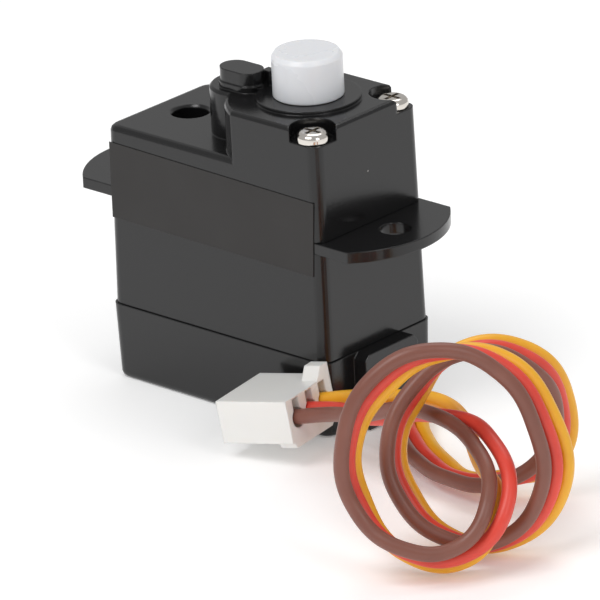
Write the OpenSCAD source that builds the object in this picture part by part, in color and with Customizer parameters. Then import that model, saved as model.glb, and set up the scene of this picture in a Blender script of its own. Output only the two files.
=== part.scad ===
// Small hobby servo: a geared DC motor with a position sensor in a three-part plastic case.
// Origin: middle of the case's footprint, on the underside. +Z up, along the output shaft.
// +X towards the end with the output shaft and the leads. Millimetres.

/* [Case] */
// Length of the case at the mounting ears
case_l = 22.8; // [22.6:0.1:23.2]
// Width of the case at the mounting ears
case_w = 12.2; // [12.2:0.1:12.6]
// Wall thickness
wall = 0.8; // [0.7:0.05:0.8]
// Height of the seam between the bottom cover and the middle case
low_seam_z = 6.4; // [6.2:0.1:6.6]
// Height of the seam between the middle case and the top cover
high_seam_z = 16.45; // [16.4:0.05:16.5]
// Height of the lower deck of the top cover
deck_z = 21.6; // [21.5:0.1:21.8]
// Height of the tower around the output shaft
tower_z = 25.6; // [25.6:0.1:25.8]
// Draft of the upper shells, degrees a side
upper_draft = 0.67; // [0.4:0.01:0.9]
// Draft of the bottom cover, degrees a side
lower_draft = 1.4; // [0.8:0.1:1.8]

/* [Ears] */
// Distance between the two mounting holes
ear_pitch = 27.66; // [27.4:0.02:27.9]
// Diameter of the mounting holes
ear_hole_d = 2.53; // [2.2:0.01:2.6]
// Thickness of the ears
ear_t = 0.9; // [0.8:0.1:1.2]
// Length over both ears
ear_span = 33.8; // [33.4:0.1:34]

/* [Output] */
// Distance of the output axis from the middle of the case
out_x = 5.26; // [5.2:0.02:5.3]
// Diameter of the output shaft
shaft_d = 5.66; // [5.5:0.02:5.8]
// Height of the top of the output shaft
shaft_top_z = 29.5; // [28.5:0.1:30]

/* [Leads] */
// Diameter over the insulation of one lead
lead_d = 1.2; // [1:0.1:1.3]
// Distance between the contacts in the connector
pitch = 1.9; // [1.8:0.05:2]

/* [Hidden] */
$fn = 64;
eps = 0.01;

// Axes of the gear train: output, idler pin and motor
axis_a = [out_x, 0];
axis_b = [out_x - 5.97, -0.6];
axis_c = [axis_b[0] - 4.46, 0];

// Case details
corner_r = 0.9;
edge_r = 0.45;
proud = 0.12;
plate_z = [14.6, 16];
deck_under_z = deck_z - 0.8;
tower_under_z = tower_z - 0.9;
tower_r = 6.67;
ring_r = 4.2;
ring_h = 0.3;
boss_at = [-1.3, -0.4];
boss_r = 2.77;
cap_at = [-0.7, -1.2];
cap_size = [3.9, 2.4];
cap_h = 1.65;
plinth_size = [4.15, 2.65];
plinth_h = 0.55;
lug_at = [0.75, -0.45];
lug_size = 0.8;
screw_at = [[9.83, -4.66], [9.83, 4.66]];
pocket_r = 1.83;
pocket_z = tower_z - 1.2;
deck_hole_at = [-7.73, 0];
deck_hole_r = 1.48;
deck_seat_z = 18.3;
thread_r = 0.8;
hood_w = 6.2;
hood_l = 1.3;
label_t = 0.06;
label_corners = [[-11, 13.8], [10.6, 13.6], [10.9, 19.8], [-11, 20.2]];

// Output shaft: thinner in its bearing, which ends at the ring's face
journal_r = shaft_d / 2 - 0.23;
bearing_gap = 0.05;
shaft_from_z = tower_z + ring_h + 0.05;

// Screws
head_r = 1.31;
head_h = 0.85;
corner_screw_l = 11;
deck_screw_l = 3.2;

// Gears: pressure angle, tooth height over and under the pitch circle, play
press_a = 20;
addendum = 0.8;
dedendum = 1.05;
play = 0.03;
running = 0.04;
pin_r = 0.5;
pot_hub_r = 1;

// Teeth and modules: pinion to first, first to second, second to third, third to output
pinion_t = 8;
first_big_t = 37;
first_small_t = 12;
second_big_t = 36;
second_small_t = 19;
third_big_t = 29;
third_small_t = 10;
output_t = 30;
m_pinion = 0.2;
m_mid = 0.25;
m_out = 0.3;
pinion_shift = 0.4;
out_shift = 0.3;

// Motor
can_r = 5;
can_z = [4.4, 14.4];
motor_shaft_r = 0.5;
cap_bottom_z = 3.3;

// Potentiometer
pot_r = 4.3;
pot_z = [10.9, 14.5];

// Board
board_z = [1.7, 2.5];
board_l = 20.4;
board_w = 9.6;

// Connector: middle of the mating end, lean of its lead end, direction in plan, and size
plug_at = [6.7, -10.6, 1.3];
plug_lean = -9.7;
plug_turn = 10;
plug_l = 6.6;
plug_w = 6.5;
plug_h = 3.5;
flange_t = 1.5;

// Routes of the three leads from the case to the connector
brown_route = [
  [12.8, -1.4, 1.5], [13.9, -2, 1.5], [17, -4.4, 1.6], [22.2, -7.8, 1.5], [26.5, -9.2, 1.6],
  [30.6, -8.9, 2], [33.4, -6.2, 3.8], [34.7, -5.5, 8], [34.2, -8, 12.3], [32, -12.5, 14.5],
  [30, -16.5, 12.5], [29.8, -19.4, 8.7], [31.5, -20.2, 5], [35, -19.4, 2.4], [38.5, -16.8, 2.2],
  [40.5, -14.4, 5.5], [40.3, -14.6, 11.5], [38.5, -16, 15.5], [35.5, -19.3, 17.8],
  [32.3, -23, 16.3], [30.8, -25.5, 11], [31.8, -25.5, 6], [35.6, -24.5, 3.4], [38.5, -21.4, 3.3],
  [38.9, -18.5, 6], [34.5, -15, 8.5], [28, -13.6, 9.1], [20.5, -12.5, 6.5], [15.8, -11, 4.9],
  [12.4, -11.5, 4]
];
red_route = [
  [12.8, 0, 1.5], [14.4, -0.8, 1.5], [17.6, -3.4, 1.2], [22.8, -6.7, 1.1], [26.6, -8, 1.2],
  [30.1, -7.7, 1.8], [33.2, -5, 3.1], [34.1, -4.3, 8.3], [33.2, -7.2, 12.7], [30.8, -12, 14],
  [29.5, -15.6, 11.7], [29.4, -18.3, 8.2], [31.1, -19, 4.7], [34.4, -18.3, 2], [38, -15.8, 1.6],
  [40.5, -13.1, 5.2], [40, -13.3, 11.6], [37.7, -14.9, 15.6], [34.6, -18.5, 17.1],
  [32.1, -22, 15.5], [30.4, -24.3, 10.7], [31.1, -24.3, 6], [34.8, -23.6, 2.7], [38.3, -20.4, 2.2],
  [39.9, -17.5, 5.5], [35, -13.8, 8.9], [28.3, -12.4, 8.4], [20.9, -11.4, 6], [15.4, -9.2, 4.6],
  [12, -9.7, 4]
];
yellow_route = [
  [12.8, 1.4, 1.5], [14.9, 0.4, 1.4], [18.2, -2.4, 0.8], [23.4, -5.6, 0.8], [26.8, -6.8, 0.8],
  [29.6, -6.5, 1.5], [32.9, -3.8, 2.5], [33.6, -3.1, 8.5], [32.1, -6.4, 13], [29.6, -11.5, 13.5],
  [29, -14.7, 10.9], [29, -17.2, 7.7], [30.7, -17.8, 4.4], [33.8, -17.2, 1.5], [37.5, -14.8, 1],
  [40.5, -11.8, 4.9], [39.7, -12, 11.7], [36.9, -13.8, 15.7], [33.7, -17.7, 16.4],
  [31.9, -21, 14.7], [30, -23.1, 10.4], [30.4, -23.1, 6], [34, -22.7, 2], [37.6, -19.5, 1.3],
  [38.7, -17.2, 4.9], [34.2, -14, 6.6], [28.6, -10.6, 8.5], [20.6, -9.9, 7.2], [14.9, -7.4, 4.9],
  [11.7, -7.8, 4]
];

// Half length and half width of the upper shells at a height
function half_l(z) = case_l / 2 - (z - high_seam_z) * tan(upper_draft);
function half_w(z) = case_w / 2 - (z - high_seam_z) * tan(upper_draft);

// Outline of a rectangle with round corners, centred
function round_rect(l, w, r, n = 6) = [
  for (k = [0:3], i = [0:n])
    let (a = 90 * k + 90 * i / n, sx = (k == 0 || k == 3) ? 1 : -1, sy = k < 2 ? 1 : -1)
      [sx * (l / 2 - r) + r * cos(a), sy * (w / 2 - r) + r * sin(a)]
];

// A thin slice of a shell, hulled with others to make drafted walls
module slice(z, hl, hw, r) {
  translate([0, 0, z]) linear_extrude(eps) polygon(round_rect(2 * hl, 2 * hw, r));
}

// A block with the upper draft, its top edge rounded
module drafted_block(z0, z1, inset = 0, edge = 0) {
  hull() {
    slice(z0, half_l(z0) - inset, half_w(z0) - inset, corner_r - inset / 2);
    for (a = [0:30:90])
      let (z = z1 - edge + edge * sin(a) - eps, g = inset + edge * (1 - cos(a)))
        slice(z, half_l(z) - g, half_w(z) - g, corner_r - inset / 2);
  }
}

// Plan of the tower: an arc around the output shaft, square towards the end of the case
function tower_plan(hl, hw, r, inset, n = 6) = [
  for (i = [-12:12])
    let (arc_r = tower_r - inset, a = 180 + asin(hw / arc_r) * i / 12)
      [axis_a[0] + arc_r * cos(a), arc_r * sin(a)],
  for (i = [0:n]) let (a = -90 + 90 * i / n) [hl - r + r * cos(a), r - hw + r * sin(a)],
  for (i = [0:n]) let (a = 90 * i / n) [hl - r + r * cos(a), hw - r + r * sin(a)]
];

module tower_block(edge = 0.3) {
  hull() {
    for (step = [[deck_z - 0.6, 0], [tower_z - edge, 0], [tower_z - edge * 0.3, edge * 0.3],
                 [tower_z, edge]])
      let (z = step[0] - eps, g = step[1])
        translate([0, 0, z]) linear_extrude(eps)
          polygon(tower_plan(half_l(z) - g, half_w(z) - g, corner_r, g));
  }
}

// A straight slot shape with round ends, standing on z = 0
module stadium(l, w, h) {
  linear_extrude(h) {
    square([l - w, w], center = true);
    for (s = [-1, 1]) translate([s * (l - w) / 2, 0]) circle(d = w);
  }
}

module at(p, z = 0) {
  translate([p[0], p[1], z]) children();
}

// ---- Case ----

module top_cover() {
  color([0.13, 0.13, 0.135]) difference() {
    union() {
      difference() {
        drafted_block(high_seam_z, deck_z, 0, edge_r);
        drafted_block(high_seam_z - eps, deck_under_z, wall);
      }
      intersection() {
        drafted_block(high_seam_z, deck_z - 0.1, wall / 2);
        top_cover_columns();
      }
      tower_block();
      at(boss_at, deck_under_z) cylinder(r = boss_r, h = tower_z - 0.2 - deck_under_z);
      at(boss_at, tower_z - 0.2) cylinder(r1 = boss_r, r2 = boss_r - 0.2, h = 0.2);
      at(axis_a, tower_z - eps) cylinder(r = ring_r, h = ring_h + eps);
      at(cap_at, tower_z - eps) stadium(plinth_size[0], plinth_size[1], plinth_h);
      at(cap_at, tower_z - eps) stadium(cap_size[0], cap_size[1], cap_h);
      at(lug_at, tower_z - eps) cube([lug_size, lug_size, cap_h - 0.15]);
    }
    at(axis_a, deck_under_z - 0.3) cylinder(r = 5, h = tower_under_z - deck_under_z + 0.3);
    at(axis_b, deck_under_z - 0.3) cylinder(r = 1.95, h = tower_under_z - deck_under_z);
    at(axis_b, tower_under_z - 1) cylinder(r = pin_r + eps, h = 1.2);
    at(axis_a, tower_under_z - 1) cylinder(r = journal_r + bearing_gap, h = 3);
    for (p = screw_at) {
      at(p, pocket_z) cylinder(r = pocket_r, h = 3);
      at(p, high_seam_z - 1) cylinder(r = thread_r + 0.1, h = 12);
    }
    at(deck_hole_at, deck_seat_z) cylinder(r = deck_hole_r, h = 5);
    at(deck_hole_at, deck_z - 0.2)
      cylinder(r1 = deck_hole_r, r2 = deck_hole_r + 0.2, h = 0.2 + eps);
    at(deck_hole_at, high_seam_z - 1) cylinder(r = thread_r + 0.1, h = 5);
  }
}

module top_cover_columns() {
  for (p = screw_at) at(p, high_seam_z) cylinder(r = 1.7, h = 5);
  at(deck_hole_at, high_seam_z) cylinder(r = 1.3, h = 3);
  at(deck_hole_at, deck_seat_z - 0.4) cylinder(r = 2.1, h = 4);
}

module ear_plan() {
  straight_x = case_l / 2 + 2.8;
  sag = ear_span / 2 - straight_x;
  arc_r = (pow(case_w / 2, 2) + sag * sag) / (2 * sag);
  half_a = asin(case_w / 2 / arc_r);
  polygon([
    [case_l / 2 - 1, -case_w / 2],
    for (i = [0:48])
      let (a = half_a * (i / 24 - 1))
        [ear_span / 2 - arc_r + arc_r * cos(a), arc_r * sin(a)],
    [case_l / 2 - 1, case_w / 2]
  ]);
}

module middle_case() {
  ear_z = high_seam_z - ear_t;
  color([0.13, 0.13, 0.135]) difference() {
    union() {
      difference() {
        union() {
          drafted_block(low_seam_z, high_seam_z);
          for (turn = [0, 180])
            rotate(turn) translate([0, 0, ear_z]) linear_extrude(ear_t) ear_plan();
        }
        drafted_block(low_seam_z - eps, plate_z[0], wall);
        drafted_block(plate_z[1], high_seam_z + eps, wall);
      }
      intersection() {
        drafted_block(low_seam_z, high_seam_z, wall / 2);
        middle_case_posts();
      }
    }
    for (p = screw_at) at(p, pocket_z - corner_screw_l - 0.4) cylinder(r = thread_r, h = 12);
    at(deck_hole_at, deck_seat_z - deck_screw_l - 0.2) cylinder(r = thread_r, h = 5);
    for (s = [-1, 1])
      translate([s * ear_pitch / 2, 0, ear_z - 1]) cylinder(d = ear_hole_d, h = ear_t + 2);
    at(axis_c, plate_z[0] - 1) cylinder(r = 1.6, h = 4);
    at(axis_a, plate_z[0] - 1) cylinder(r = pot_hub_r + 0.3, h = 4);
    at(axis_b, plate_z[0] + 0.3) cylinder(r = pin_r + eps, h = 4);
  }
}

module middle_case_posts() {
  for (p = screw_at) at(p, 10.5) cylinder(r = 1.7, h = high_seam_z - 10.5);
  at(deck_hole_at, plate_z[0]) cylinder(r = 1.3, h = high_seam_z - plate_z[0]);
  at(axis_b, plate_z[0]) cylinder(r = 1.2, h = plate_z[1] + 0.3 - plate_z[0]);
}

module bottom_cover() {
  base_l = half_l(low_seam_z) + proud - low_seam_z * tan(lower_draft);
  base_w = half_w(low_seam_z) + proud - low_seam_z * tan(lower_draft);
  color([0.13, 0.13, 0.135]) difference() {
    union() {
      difference() {
        hull() {
          for (a = [0:30:90])
            slice(edge_r * (1 - cos(a)), base_l - edge_r * (1 - sin(a)),
                  base_w - edge_r * (1 - sin(a)), corner_r);
          slice(low_seam_z - eps, half_l(low_seam_z) + proud, half_w(low_seam_z) + proud,
                corner_r);
        }
        hull() {
          slice(1, base_l - wall - 0.2, base_w - wall - 0.2, corner_r / 2);
          slice(low_seam_z, half_l(low_seam_z) - wall - 0.35, half_w(low_seam_z) - wall - 0.35,
                corner_r / 2);
        }
      }
      difference() {
        lip(0.05, 5.6);
        lip(0.4, 5);
      }
      translate([half_l(0) - 0.8, -hood_w / 2, 0]) hood();
    }
    translate([8, -2.3, 0.8]) cube([8, 4.6, 1.4]);
  }
}

// Spigot that locates the bottom cover inside the middle case
module lip(gap, z0) {
  hull() {
    slice(z0, half_l(z0) - wall - gap, half_w(z0) - wall - gap, corner_r / 2);
    slice(low_seam_z + 1.1, half_l(low_seam_z + 1.1) - wall - gap,
          half_w(low_seam_z + 1.1) - wall - gap, corner_r / 2);
  }
}

// Block over the lead outlet on the end of the bottom cover
module hood() {
  rotate([90, 0, 90]) linear_extrude(hood_l + 0.8)
    polygon([[0.15, 0.1], [hood_w - 0.15, 0.1], [hood_w, low_seam_z - 0.5],
             [hood_w - 0.5, low_seam_z], [0.5, low_seam_z], [0, low_seam_z - 0.5]]);
}

module side_label() {
  color([0.16, 0.155, 0.15]) translate([0, -half_w(high_seam_z) - 0.01, high_seam_z])
    rotate([90 - upper_draft, 0, 0]) linear_extrude(label_t)
      polygon([for (p = label_corners) p - [0, high_seam_z]]);
}

// ---- Screws ----

// Half section of a pan head: straight rim and a rounded top
function head_profile() = [
  [head_r - 0.06, 0], [head_r, 0.06],
  for (a = [0:15:90]) [head_r - 0.55 + 0.55 * cos(a), head_h - 0.5 + 0.5 * sin(a)],
  [0, head_h]
];

module screw(seat_z, shank_l) {
  translate([0, 0, seat_z]) difference() {
    union() {
      rotate_extrude() polygon(concat([[0, 0]], head_profile()));
      translate([0, 0, -shank_l + 0.6]) cylinder(r = thread_r - 0.02, h = shank_l - 0.6);
      translate([0, 0, -shank_l]) cylinder(r1 = 0.3, r2 = thread_r - 0.02, h = 0.6);
    }
    for (turn = [0, 90])
      rotate(turn) translate([-0.8, -0.17, 0.35]) cube([1.6, 0.34, 1]);
  }
}

module corner_screws() {
  color("silver") for (p = screw_at) at(p) screw(pocket_z, corner_screw_l);
}

module deck_screw() {
  color("silver") at(deck_hole_at) screw(deck_seat_z, deck_screw_l);
}

// ---- Gears ----

function involute(rb, r) = let (a = acos(min(1, rb / r))) tan(a) * 180 / PI - a;

// Half the angle that a tooth fills at radius r
function tooth_half(t, m, shift, r) =
  let (rp = m * t / 2, rb = rp * cos(press_a))
    90 / t + 2 * shift * tan(press_a) / t * 180 / PI - play / rp * 90 / PI
    + involute(rb, rp) - involute(rb, max(r, rb));

function gear_outline(t, m, shift) =
  let (rp = m * t / 2, rb = rp * cos(press_a), ri = rp - m * (dedendum - shift),
       ro = rp + m * (addendum + shift), rs = max(ri + 0.01, rb))
    [for (k = [0:t - 1], s = [-1, 1], i = [0:3])
      let (j = s < 0 ? i : 3 - i, r = j == 0 ? ri : rs + (ro - rs) * (j - 1) / 2,
           a = 360 * k / t + s * tooth_half(t, m, shift, r))
        [r * cos(a), r * sin(a)]];

module gear(t, m, shift, z0, z1, turn) {
  translate([0, 0, z0]) rotate(turn) linear_extrude(z1 - z0)
    polygon(gear_outline(t, m, shift));
}

// Turn that puts a gear of t2 teeth in mesh with one of t1 teeth turned by turn1,
// where the line from the first axis to the second points along dir
function mesh_turn(dir, turn1, t1, t2) =
  dir + 180 - (0.5 - (dir - turn1) * t1 / 360) * 360 / t2;
function heading(from, to) = atan2(to[1] - from[1], to[0] - from[0]);

module output_gear() {
  color([0.92, 0.93, 0.95]) at(axis_a) difference() {
    union() {
      gear(output_t, m_out, -out_shift, 20.9, 22.7, 0);
      translate([0, 0, 22.6]) cylinder(r = 3.6, h = tower_under_z - 0.1 - 22.6);
      translate([0, 0, 22.6]) cylinder(r = journal_r, h = shaft_from_z - 22.6 + eps);
      translate([0, 0, shaft_from_z]) cylinder(d = shaft_d, h = shaft_top_z - 0.35 - shaft_from_z);
      translate([0, 0, shaft_top_z - 0.35])
        cylinder(d1 = shaft_d, d2 = shaft_d - 0.5, h = 0.35);
      translate([0, 0, 20.5]) cylinder(r = 2, h = 0.5);
    }
    translate([0, 0, 20]) cylinder(r = pot_hub_r, h = 3.4);
  }
}

module pot_shaft() {
  color([0.85, 0.85, 0.8]) at(axis_a) {
    translate([0, 0, 11.6]) cylinder(r = pot_hub_r, h = 23.4 - 11.6);
    translate([0, 0, 12.4]) cylinder(r = 3, h = 0.6);
  }
}

module pot_wiper() {
  color([0.8, 0.6, 0.25]) at(axis_a) for (s = [-1, 1])
    translate([s * 1.9 - 0.25, -0.8, 12]) cube([0.5, 1.6, 0.4]);
}

// Two gears on one hub: each is [teeth, module, shift, bottom, top, turn]
module compound_gear(big, small, bore_r) {
  difference() {
    union() {
      gear(big[0], big[1], big[2], big[3], big[4], big[5]);
      gear(small[0], small[1], small[2], small[3], small[4], small[5]);
    }
    translate([0, 0, big[3] - 1]) cylinder(r = bore_r, h = 9);
  }
}

// Turns of the driven gears, chained from the output gear at 0
third_small_turn = mesh_turn(heading(axis_a, axis_b), 0, output_t, third_small_t);
second_small_turn = mesh_turn(heading(axis_b, axis_a), 0, third_big_t, second_small_t);
first_small_turn = mesh_turn(heading(axis_a, axis_b), 0, second_big_t, first_small_t);
pinion_turn = mesh_turn(heading(axis_b, axis_c), 0, first_big_t, pinion_t);

module third_gear() {
  color([0.93, 0.93, 0.9]) at(axis_b)
    compound_gear([third_big_t, m_mid, 0, 19.2, 20.2, 0],
                  [third_small_t, m_out, out_shift, 20.1, 23, third_small_turn], pin_r + running);
}

module second_gear() {
  color([0.93, 0.93, 0.9]) at(axis_a)
    compound_gear([second_big_t, m_mid, 0, 17.9, 18.9, 0],
                  [second_small_t, m_mid, 0, 18.8, 20.3, second_small_turn],
                  pot_hub_r + running);
}

module first_gear() {
  color([0.93, 0.93, 0.9]) at(axis_b)
    compound_gear([first_big_t, m_pinion, -pinion_shift, 16.6, 17.6, 0],
                  [first_small_t, m_mid, 0, 17.5, 19, first_small_turn], pin_r + running);
}

module idler_pin() {
  color("silver") at(axis_b, plate_z[0] + 0.3) cylinder(r = pin_r, h = 24.7 - plate_z[0] - 0.3);
}

module motor_pinion() {
  color([0.8, 0.65, 0.3]) at(axis_c) difference() {
    gear(pinion_t, m_pinion, pinion_shift, 16.3, 17.9, pinion_turn);
    translate([0, 0, 16]) cylinder(r = motor_shaft_r, h = 3);
  }
}

// ---- Motor ----

module motor_shaft() {
  color("silver") at(axis_c, 3.6) cylinder(r = motor_shaft_r, h = 14.5);
}

module armature_core() {
  color([0.45, 0.45, 0.48]) at(axis_c, 7) difference() {
    union() {
      cylinder(r = 1.1, h = 5.4);
      for (k = [0:2]) rotate(120 * k) {
        translate([0, -0.5, 0]) cube([3, 1, 5.4]);
        intersection() {
          difference() {
            cylinder(r = 3.5, h = 5.4);
            translate([0, 0, -1]) cylinder(r = 2.9, h = 8);
          }
          linear_extrude(5.4) polygon([[0, 0], [5, -4.4], [5, 4.4]]);
        }
      }
    }
    translate([0, 0, -1]) cylinder(r = motor_shaft_r, h = 8);
  }
}

module armature_windings() {
  color([0.72, 0.38, 0.18]) at(axis_c, 6.5) for (k = [0:2]) rotate(120 * k)
    difference() {
      translate([1.2, -1.15, 0]) cube([1.4, 2.3, 6.4]);
      translate([1, -0.5, 0.5]) cube([3, 1, 5.4]);
    }
}

module commutator() {
  color([0.8, 0.5, 0.25]) at(axis_c, 4.6) difference() {
    cylinder(r = 0.9, h = 1.8);
    translate([0, 0, -1]) cylinder(r = motor_shaft_r, h = 4);
    for (k = [0:2]) rotate(120 * k + 60) translate([0.3, -0.08, -1]) cube([1, 0.16, 4]);
  }
}

module motor_can() {
  color([0.75, 0.76, 0.78]) at(axis_c) difference() {
    union() {
      translate([0, 0, can_z[0]]) cylinder(r = can_r, h = can_z[1] - can_z[0]);
      translate([0, 0, can_z[1]]) cylinder(r = 1.5, h = 1);
    }
    translate([0, 0, can_z[0] - 1]) cylinder(r = can_r - 0.4, h = can_z[1] - can_z[0] + 0.4);
    translate([0, 0, can_z[1] - 2]) cylinder(r = motor_shaft_r + running, h = 5);
  }
}

module motor_magnets() {
  color([0.3, 0.3, 0.32]) at(axis_c, 6.6) difference() {
    cylinder(r = can_r - 0.41, h = 6.2);
    translate([0, 0, -1]) cylinder(r = 3.7, h = 9);
    for (s = [-1, 1]) rotate(90) translate([s * 4 - 2, -1.2, -1]) cube([4, 2.4, 9]);
  }
}

module motor_end_cap() {
  color([0.9, 0.88, 0.8]) at(axis_c) difference() {
    union() {
      translate([0, 0, cap_bottom_z]) cylinder(r = can_r, h = can_z[0] - cap_bottom_z);
      translate([0, 0, can_z[0]]) cylinder(r = can_r - 0.41, h = 0.8);
    }
    translate([0, 0, can_z[0] - 0.5]) cylinder(r = can_r - 1, h = 3);
    translate([0, 0, cap_bottom_z + 0.3]) cylinder(r = motor_shaft_r + running, h = 3);
    for (s = [-1, 1]) translate([-0.6, s * 3 - 0.2, 2]) cube([1.2, 0.4, 4]);
  }
}

module motor_brushes() {
  color([0.8, 0.6, 0.3]) at(axis_c) for (s = [-1, 1])
    translate([-0.5, s * 1.05 - 0.1, 4.7]) cube([4.3, 0.2, 0.45]);
}

module motor_terminals() {
  color([0.85, 0.75, 0.45]) at(axis_c) for (s = [-1, 1])
    translate([-0.55, s * 3 - 0.15, 2.8]) cube([1.1, 0.3, 1.9]);
}

// ---- Potentiometer ----

module pot_housing() {
  color([0.2, 0.45, 0.3]) at(axis_a) difference() {
    translate([0, 0, pot_z[0]]) cylinder(r = pot_r, h = pot_z[1] - pot_z[0]);
    translate([0, 0, pot_z[0] + 0.5]) cylinder(r = 3.5, h = 2.4);
    translate([0, 0, pot_z[0] + 0.5]) cylinder(r = pot_hub_r + running, h = 5);
  }
}

module pot_track() {
  color([0.15, 0.12, 0.1]) at(axis_a, pot_z[0] + 0.5) difference() {
    cylinder(r = 3.2, h = 0.2);
    translate([0, 0, -1]) cylinder(r = 1.4, h = 3);
    translate([-4, -0.3, -1]) cube([3, 0.6, 3]);
  }
}

module pot_terminals() {
  color([0.85, 0.75, 0.45]) at(axis_a) for (y = [-2, 0, 2])
    translate([-0.3, y - 0.3, 9.7]) cube([0.6, 0.6, 1.2]);
}

// ---- Board ----

module control_board() {
  color([0.05, 0.3, 0.18]) difference() {
    translate([-board_l / 2, -board_w / 2, board_z[0]])
      cube([board_l, board_w, board_z[1] - board_z[0]]);
    for (y = [-1.4, 0, 1.4]) translate([9.2, y, 0]) cylinder(r = 0.3, h = 4);
  }
}

module board_chips() {
  color([0.1, 0.1, 0.1]) {
    translate([0.2, -2, board_z[1]]) cube([4, 4, 0.9]);
    translate([-8, -1.6, board_z[0] - 0.6]) cube([3.2, 3.2, 0.6]);
  }
}

module board_passives() {
  color([0.75, 0.6, 0.4]) {
    for (x = [1, 3, 7]) translate([x, 3, board_z[1]]) cube([0.6, 1.2, 0.5]);
    for (x = [-2, 0, 2, 4]) translate([x, -3.6, board_z[0] - 0.45]) cube([1.2, 0.6, 0.45]);
  }
}

module wire(from_z, to_z, r) {
  translate([0, 0, from_z]) cylinder(r = r, h = to_z - from_z);
}

module motor_leads() {
  color([0.75, 0.15, 0.12]) at(axis_c) for (s = [-1, 1])
    translate([0, s * 3, 0]) wire(board_z[1], 2.8, 0.25);
}

module pot_leads() {
  color([0.2, 0.3, 0.7]) at(axis_a) for (y = [-2, 0, 2])
    translate([0, y, 0]) wire(board_z[1], 9.7, 0.3);
}

// ---- Leads ----

function unit(v) = v / norm(v);

// Direction of a route at one of its points
function along(route, i) =
  unit(route[min(i + 1, len(route) - 1)] - route[max(i - 1, 0)]);

// Side vectors carried from ring to ring, so that the tube doesn't twist
function carried(route, i, side) =
  let (t = along(route, i), s = unit(side - (side * t) * t))
    i == len(route) - 1 ? [s] : concat([s], carried(route, i + 1, s));

module tube(route, r, sides = 8) {
  side = carried(route, 0, [0, 0, 1]);
  n = len(route);
  points = [for (i = [0:n - 1], k = [0:sides - 1])
    let (s = side[i], c = cross(along(route, i), s), a = 360 * k / sides)
      route[i] + r * (s * cos(a) + c * sin(a))];
  walls = [for (i = [0:n - 2], k = [0:sides - 1])
    let (a = i * sides + k, b = i * sides + (k + 1) % sides)
      each [[a, a + sides, b], [b, a + sides, b + sides]]];
  ends = [[for (k = [0:sides - 1]) k], [for (k = [0:sides - 1]) (n - 1) * sides + sides - 1 - k]];
  polyhedron(points, concat(walls, ends));
}

module lead_brown() {
  color([0.5, 0.3, 0.24]) tube(brown_route, lead_d / 2);
}

module lead_red() {
  color([0.85, 0.25, 0.2]) tube(red_route, lead_d / 2);
}

module lead_yellow() {
  color([0.92, 0.68, 0.15]) tube(yellow_route, lead_d / 2);
}

// ---- Connector ----

module on_plug() {
  translate(plug_at) rotate([0, plug_lean, plug_turn]) children();
}

module connector_housing() {
  color([0.93, 0.92, 0.88]) on_plug() difference() {
    union() {
      translate([0, -plug_w / 2, 0]) cube([plug_l, plug_w, plug_h]);
      translate([plug_l - flange_t, 0, 0]) rotate([90, 0, 90]) linear_extrude(flange_t)
        flange_outline();
    }
    for (k = [-1:1]) {
      translate([plug_l - 1.4, k * pitch, plug_h / 2]) rotate([0, 90, 0])
        cylinder(r = 0.8, h = 2);
      translate([plug_l - 1, k * pitch - 0.45, plug_h / 2 + 0.6]) cube([2, 0.9, 1]);
      translate([-1, k * pitch - 0.55, plug_h / 2 - 0.55]) cube([plug_l, 1.1, 1.1]);
    }
    translate([1.4, -0.8, -1]) cube([1.2, 1.6, 1.2]);
  }
}

// Guide flange at the lead end, taller than the body
module flange_outline() {
  polygon([[-plug_w / 2, 0.4], [-plug_w / 2 + 0.5, -0.5], [plug_w / 2 - 0.9, -0.5],
           [plug_w / 2, 0.2], [plug_w / 2, plug_h + 1], [plug_w / 2 - 1, plug_h + 1],
           [plug_w / 2 - 1.8, plug_h], [-plug_w / 2, plug_h]]);
}

module connector_contacts() {
  color([0.8, 0.8, 0.78]) on_plug() for (k = [-1:1])
    translate([0.5, k * pitch - 0.45, plug_h / 2 - 0.45]) difference() {
      cube([4.2, 0.9, 0.9]);
      translate([-1, 0.2, 0.2]) cube([4, 0.5, 0.5]);
    }
}

top_cover();
middle_case();
bottom_cover();
side_label();
corner_screws();
deck_screw();
output_gear();
pot_shaft();
pot_wiper();
third_gear();
second_gear();
first_gear();
idler_pin();
motor_pinion();
motor_shaft();
armature_core();
armature_windings();
commutator();
motor_can();
motor_magnets();
motor_end_cap();
motor_brushes();
motor_terminals();
pot_housing();
pot_track();
pot_terminals();
control_board();
board_chips();
board_passives();
motor_leads();
pot_leads();
lead_brown();
lead_red();
lead_yellow();
connector_housing();
connector_contacts();
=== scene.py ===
"""Looks for the servo motor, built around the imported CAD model. Metres, in the CAD's own frame."""

import math

import bpy
from mathutils import Matrix, Vector


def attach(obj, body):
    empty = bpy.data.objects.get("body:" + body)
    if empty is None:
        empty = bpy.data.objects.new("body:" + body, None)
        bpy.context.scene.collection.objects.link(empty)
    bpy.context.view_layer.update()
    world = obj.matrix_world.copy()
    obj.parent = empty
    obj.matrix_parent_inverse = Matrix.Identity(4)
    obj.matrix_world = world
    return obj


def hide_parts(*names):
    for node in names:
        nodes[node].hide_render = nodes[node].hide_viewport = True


MM = 0.001

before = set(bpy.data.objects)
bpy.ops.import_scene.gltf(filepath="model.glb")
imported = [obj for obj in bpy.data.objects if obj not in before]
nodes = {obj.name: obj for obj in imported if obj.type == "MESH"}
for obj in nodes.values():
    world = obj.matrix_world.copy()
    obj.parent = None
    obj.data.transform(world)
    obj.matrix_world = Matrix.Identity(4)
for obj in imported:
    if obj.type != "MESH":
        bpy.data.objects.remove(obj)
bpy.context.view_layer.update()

# ---------------------------------------------------------------- materials


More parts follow.
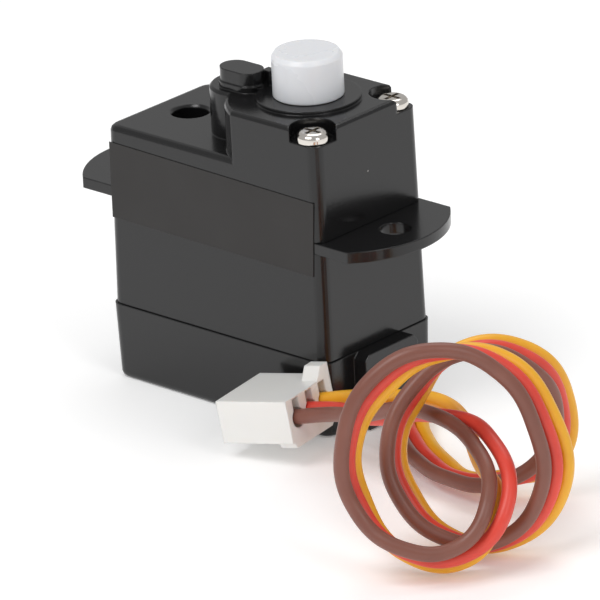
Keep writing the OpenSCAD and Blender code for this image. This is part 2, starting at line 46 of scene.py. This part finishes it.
class Shader:
    """A Principled material with short calls for the nodes that its detail needs."""

    def __init__(self, name, color, roughness, **inputs):
        self.material = bpy.data.materials.new(name)
        self.material.use_nodes = True
        self.tree = self.material.node_tree
        self.bsdf = self.tree.nodes["Principled BSDF"]
        self.set(**{"Base Color": (*color, 1), "Roughness": roughness, **inputs})
        self.normal = None

    def set(self, **inputs):
        for key, value in inputs.items():
            self.bsdf.inputs[key].default_value = value
        return self

    def node(self, kind, links=(), **values):
        made = self.tree.nodes.new(kind)
        for key, value in values.items():
            if key in made.inputs:
                made.inputs[key].default_value = value
            else:
                setattr(made, key, value)
        for key, source in dict(links).items():
            self.tree.links.new(source, made.inputs[key])
        return made

    def noise(self, scale, detail=3.0, rough=0.5, stretch=(1, 1, 1)):
        where = self.node("ShaderNodeTexCoord").outputs["Object"]
        sized = self.node("ShaderNodeMapping", {"Vector": where}, Scale=stretch)
        return self.node(
            "ShaderNodeTexNoise",
            {"Vector": sized.outputs["Vector"]},
            Scale=scale,
            Detail=detail,
            Roughness=rough,
        ).outputs["Fac"]

    def ramp(self, source, low, high, start=(0, 0, 0), end=(1, 1, 1)):
        made = self.node("ShaderNodeValToRGB", {"Fac": source})
        for element, place, color in zip(
            made.color_ramp.elements, (low, high), (start, end)
        ):
            element.position = place
            element.color = (*color, 1)
        return made.outputs["Color"]

    def vary_roughness(self, source, low, high):
        spread = self.node("ShaderNodeMapRange", {"Value": source})
        spread.inputs["To Min"].default_value = low
        spread.inputs["To Max"].default_value = high
        self.tree.links.new(spread.outputs["Result"], self.bsdf.inputs["Roughness"])
        return self

    def vary_color(self, source, color_a, color_b, low=0.35, high=0.65):
        self.tree.links.new(
            self.ramp(source, low, high, color_a, color_b), self.bsdf.inputs["Base Color"]
        )
        return self

    def soft_edges(self, radius, samples=6):
        self.normal = self.node(
            "ShaderNodeBevel", samples=samples, Radius=radius
        ).outputs["Normal"]
        self.tree.links.new(self.normal, self.bsdf.inputs["Normal"])
        return self

    def bump(self, source, depth, strength=1.0):
        links = {"Height": source}
        if self.normal is not None:
            links["Normal"] = self.normal
        self.normal = self.node(
            "ShaderNodeBump", links, Distance=depth, Strength=strength
        ).outputs["Normal"]
        self.tree.links.new(self.normal, self.bsdf.inputs["Normal"])
        return self


def subsurface(weight, radius, scale):
    """Inputs for light that passes a little way into a plastic."""
    return {
        "Subsurface Weight": weight,
        "Subsurface Radius": radius,
        "Subsurface Scale": scale,
    }


def moulded(name, color, roughness, edge, grain=0.00001, **inputs):
    """Moulded plastic: softened edges, a fine grain and an uneven gloss."""
    shader = Shader(name, color, roughness, **inputs)
    shader.soft_edges(edge)
    shader.bump(shader.noise(3500, 2), grain, 0.5)
    shader.vary_roughness(shader.noise(160, 4), roughness * 0.85, roughness * 1.15)
    return shader


def dusty(shader, color, dust):
    """Adds a few tiny pale specks to the colour of a dark plastic."""
    where = shader.node("ShaderNodeTexCoord").outputs["Object"]
    cells = shader.node(
        "ShaderNodeTexVoronoi", {"Vector": where}, Scale=520, Randomness=1
    )
    near = shader.ramp(cells.outputs["Distance"], 0.03, 0.045, (1, 1, 1), (0, 0, 0))
    chosen = shader.ramp(cells.outputs["Color"], 0.86, 0.87)
    both = shader.node("ShaderNodeMath", {0: near, 1: chosen}, operation="MULTIPLY")
    mixed = shader.node("ShaderNodeMix", {"Factor": both.outputs[0]}, data_type="RGBA")
    mixed.inputs["A"].default_value = (*color, 1)
    mixed.inputs["B"].default_value = (*dust, 1)
    shader.tree.links.new(mixed.outputs["Result"], shader.bsdf.inputs["Base Color"])
    return shader


def metal(name, color, roughness, edge=0.00005, brushed=(1, 1, 1)):
    shader = Shader(name, color, roughness, Metallic=1.0)
    shader.soft_edges(edge)
    streaks = shader.noise(900, 4, 0.6, brushed)
    shader.vary_roughness(streaks, roughness * 0.7, roughness * 1.3)
    shader.bump(streaks, 0.000004, 0.4)
    return shader


BLACK = (0.0062, 0.0061, 0.0065)
case_plastic = dusty(
    moulded("case_plastic", BLACK, 0.2, 0.00016), BLACK, (0.3, 0.29, 0.28)
)
label_film = moulded("label_film", (0.0155, 0.0135, 0.0125), 0.55, 0.00003, 0.000006)
shaft_plastic = moulded(
    "shaft_plastic",
    (0.74, 0.75, 0.775),
    0.28,
    0.00014,
    **subsurface(0.5, (1, 0.9, 0.8), 0.8 * MM),
)
gear_plastic = moulded("gear_plastic", (0.84, 0.84, 0.80), 0.35, 0.00005)
plug_plastic = moulded(
    "plug_plastic",
    (0.84, 0.835, 0.81),
    0.28,
    0.00016,
    **subsurface(0.3, (1, 0.9, 0.8), 0.6 * MM),
)
nickel = metal("nickel", (0.72, 0.68, 0.63), 0.13)
steel = metal("steel", (0.62, 0.62, 0.63), 0.28)
can_steel = metal("can_steel", (0.66, 0.67, 0.69), 0.32, 0.0001, (1, 1, 0.05))
iron = metal("iron", (0.30, 0.30, 0.32), 0.45, 0.00005, (1, 1, 8))
copper = metal("copper", (0.78, 0.36, 0.18), 0.3, 0.00005, (1, 1, 12))
brass = metal("brass", (0.80, 0.62, 0.28), 0.25)
tin = metal("tin", (0.74, 0.73, 0.69), 0.3)
end_cap_plastic = moulded("end_cap_plastic", (0.82, 0.78, 0.66), 0.4, 0.0001)
pot_plastic = moulded("pot_plastic", (0.06, 0.20, 0.12), 0.45, 0.0001)
carbon = moulded("carbon", (0.02, 0.018, 0.016), 0.55, 0.00003)
board = moulded("board", (0.02, 0.16, 0.08), 0.3, 0.00005)
chip_black = moulded("chip_black", (0.02, 0.02, 0.02), 0.5, 0.00008)
chip_tan = moulded("chip_tan", (0.45, 0.33, 0.20), 0.45, 0.00005)


def insulation(name, color, dark):
    """Soft plastic insulation: a slight mottle along the lead and a satin skin."""
    shader = Shader(
        name,
        color,
        0.38,
        **subsurface(0.08, (1, 0.5, 0.3), 0.4 * MM),
    )
    shader.vary_color(shader.noise(260, 3), dark, color)
    shader.vary_roughness(shader.noise(700, 3), 0.32, 0.46)
    shader.bump(shader.noise(1500, 3), 0.00002, 0.35)
    return shader


brown_skin = insulation("brown_insulation", (0.235, 0.088, 0.062), (0.205, 0.074, 0.052))
red_skin = insulation("red_insulation", (0.80, 0.072, 0.045), (0.70, 0.055, 0.035))
yellow_skin = insulation("yellow_insulation", (0.90, 0.46, 0.025), (0.82, 0.40, 0.018))
blue_skin = insulation("blue_insulation", (0.05, 0.10, 0.42), (0.04, 0.08, 0.36))

SHADERS = {
    case_plastic: ["top_cover", "middle_case", "bottom_cover"],
    label_film: ["side_label"],
    nickel: ["corner_screws", "deck_screw"],
    shaft_plastic: ["output_gear"],
    gear_plastic: ["pot_shaft", "third_gear", "second_gear", "first_gear"],
    steel: ["idler_pin", "motor_shaft"],
    can_steel: ["motor_can"],
    iron: ["armature_core", "motor_magnets"],
    copper: ["armature_windings", "commutator"],
    brass: ["motor_pinion", "pot_wiper", "motor_brushes"],
    tin: ["motor_terminals", "pot_terminals", "connector_contacts"],
    end_cap_plastic: ["motor_end_cap"],
    pot_plastic: ["pot_housing"],
    carbon: ["pot_track"],
    board: ["control_board"],
    chip_black: ["board_chips"],
    chip_tan: ["board_passives"],
    red_skin: ["motor_leads"],
    blue_skin: ["pot_leads"],
    plug_plastic: ["connector_housing"],
}


def paint(obj, shader):
    obj.data.materials.clear()
    obj.data.materials.append(shader.material)


for shader, names in SHADERS.items():
    for name in names:
        paint(nodes[name], shader)

# ---------------------------------------------------------------- leads

LEAD_D = 1.2 * MM
BROWN_ROUTE = [
    (12.8, -1.4, 1.5), (13.9, -2, 1.5), (17, -4.4, 1.6), (22.2, -7.8, 1.5), (26.5, -9.2, 1.6),
    (30.6, -8.9, 2), (33.4, -6.2, 3.8), (34.7, -5.5, 8), (34.2, -8, 12.3), (32, -12.5, 14.5),
    (30, -16.5, 12.5), (29.8, -19.4, 8.7), (31.5, -20.2, 5), (35, -19.4, 2.4),
    (38.5, -16.8, 2.2), (40.5, -14.4, 5.5), (40.3, -14.6, 11.5), (38.5, -16, 15.5),
    (35.5, -19.3, 17.8), (32.3, -23, 16.3), (30.8, -25.5, 11), (31.8, -25.5, 6),
    (35.6, -24.5, 3.4), (38.5, -21.4, 3.3), (38.9, -18.5, 6), (34.5, -15, 8.5), (28, -13.6, 9.1),
    (20.5, -12.5, 6.5), (15.8, -11, 4.9), (12.4, -11.5, 4),
]
RED_ROUTE = [
    (12.8, 0, 1.5), (14.4, -0.8, 1.5), (17.6, -3.4, 1.2), (22.8, -6.7, 1.1), (26.6, -8, 1.2),
    (30.1, -7.7, 1.8), (33.2, -5, 3.1), (34.1, -4.3, 8.3), (33.2, -7.2, 12.7), (30.8, -12, 14),
    (29.5, -15.6, 11.7), (29.4, -18.3, 8.2), (31.1, -19, 4.7), (34.4, -18.3, 2),
    (38, -15.8, 1.6), (40.5, -13.1, 5.2), (40, -13.3, 11.6), (37.7, -14.9, 15.6),
    (34.6, -18.5, 17.1), (32.1, -22, 15.5), (30.4, -24.3, 10.7), (31.1, -24.3, 6),
    (34.8, -23.6, 2.7), (38.3, -20.4, 2.2), (39.9, -17.5, 5.5), (35, -13.8, 8.9),
    (28.3, -12.4, 8.4), (20.9, -11.4, 6), (15.4, -9.2, 4.6), (12, -9.7, 4),
]
YELLOW_ROUTE = [
    (12.8, 1.4, 1.5), (14.9, 0.4, 1.4), (18.2, -2.4, 0.8), (23.4, -5.6, 0.8), (26.8, -6.8, 0.8),
    (29.6, -6.5, 1.5), (32.9, -3.8, 2.5), (33.6, -3.1, 8.5), (32.1, -6.4, 13),
    (29.6, -11.5, 13.5), (29, -14.7, 10.9), (29, -17.2, 7.7), (30.7, -17.8, 4.4),
    (33.8, -17.2, 1.5), (37.5, -14.8, 1), (40.5, -11.8, 4.9), (39.7, -12, 11.7),
    (36.9, -13.8, 15.7), (33.7, -17.7, 16.4), (31.9, -21, 14.7), (30, -23.1, 10.4),
    (30.4, -23.1, 6), (34, -22.7, 2), (37.6, -19.5, 1.3), (38.7, -17.2, 4.9), (34.2, -14, 6.6),
    (28.6, -10.6, 8.5), (20.6, -9.9, 7.2), (14.9, -7.4, 4.9), (11.7, -7.8, 4),
]


def lead(name, node, route, shader):
    curve = bpy.data.curves.new(name, "CURVE")
    curve.dimensions = "3D"
    curve.bevel_depth = LEAD_D / 2
    curve.bevel_resolution = 6
    curve.resolution_u = 16
    curve.use_fill_caps = True
    spline = curve.splines.new("BEZIER")
    spline.bezier_points.add(len(route) - 1)
    for point, place in zip(spline.bezier_points, route):
        point.co = Vector(place) * MM
        point.handle_left_type = point.handle_right_type = "AUTO"
    obj = bpy.data.objects.new(name, curve)
    bpy.context.scene.collection.objects.link(obj)
    paint(obj, shader)
    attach(obj, "case")
    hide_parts(node)
    return obj


lead("cord_brown", "lead_brown", BROWN_ROUTE, brown_skin)
lead("cord_red", "lead_red", RED_ROUTE, red_skin)
lead("cord_yellow", "lead_yellow", YELLOW_ROUTE, yellow_skin)

# ---------------------------------------------------------------- floor, light and camera

CAMERA_TARGET = Vector((10.745, -8.0, 12.326)) * MM
CAMERA_DISTANCE = 0.622
CAMERA_AZIMUTH = math.radians(-46.79)
CAMERA_ELEVATION = math.radians(21.8)
CAMERA_ROLL = math.radians(-2.84)
CAMERA_LENS = 478


def looking(place, target, roll=0.0):
    """Matrix of a camera or light at a place that looks at a target."""
    turn = (target - place).to_track_quat("-Z", "Y").to_matrix().to_4x4()
    return Matrix.Translation(place) @ turn @ Matrix.Rotation(roll, 4, "Z")


def around(azimuth, elevation, distance):
    flat = math.cos(elevation)
    return CAMERA_TARGET + distance * Vector(
        (flat * math.cos(azimuth), flat * math.sin(azimuth), math.sin(elevation))
    )


FLOOR_HALF = 3.0
FLOOR_DROP = 0.00002
FLOOR_LIFT = 0.15


def add_floor():
    """White paper just under the servo, lifted a little so that it stays white."""
    corners = [(x * FLOOR_HALF, y * FLOOR_HALF, 0) for x, y in ((-1, -1), (1, -1), (1, 1), (-1, 1))]
    mesh = bpy.data.meshes.new("floor")
    mesh.from_pydata(corners, [], [(0, 1, 2, 3)])
    floor = bpy.data.objects.new("floor", mesh)
    floor.location.z = -FLOOR_DROP
    bpy.context.scene.collection.objects.link(floor)
    shader = Shader("floor_paper", (0.97, 0.97, 0.97), 0.9, **{"Specular IOR Level": 0.1})
    shader.set(**{"Emission Color": (1, 1, 1, 1), "Emission Strength": FLOOR_LIFT})
    paint(floor, shader)


def add_softbox(name, azimuth, elevation, distance, size, power):
    light = bpy.data.lights.new(name, "AREA")
    light.shape = "RECTANGLE"
    light.size, light.size_y = size
    light.energy = power
    obj = bpy.data.objects.new(name, light)
    place = around(math.radians(azimuth), math.radians(elevation), distance)
    obj.matrix_world = looking(place, CAMERA_TARGET)
    bpy.context.scene.collection.objects.link(obj)


def add_camera():
    camera = bpy.data.objects.new("camera", bpy.data.cameras.new("camera"))
    camera.data.lens = CAMERA_LENS
    camera.data.sensor_width = 36
    camera.data.clip_start = 0.01
    place = around(CAMERA_AZIMUTH, CAMERA_ELEVATION, CAMERA_DISTANCE)
    camera.matrix_world = looking(place, CAMERA_TARGET, CAMERA_ROLL)
    bpy.context.scene.collection.objects.link(camera)
    bpy.context.scene.camera = camera


def add_world():
    world = bpy.data.worlds.new("studio")
    world.use_nodes = True
    background = world.node_tree.nodes["Background"]
    background.inputs["Color"].default_value = (1, 1, 1, 1)
    background.inputs["Strength"].default_value = 0.5
    bpy.context.scene.world = world
    bpy.context.scene.view_settings.view_transform = "Standard"


add_floor()
add_world()
add_softbox("key_box", -95, 55, 0.45, (0.22, 0.22), 0.8)
add_softbox("fill_box", -10, 38, 0.5, (0.18, 0.3), 0.4)
add_softbox("back_box", 120, 60, 0.5, (0.3, 0.2), 0.45)
add_camera()
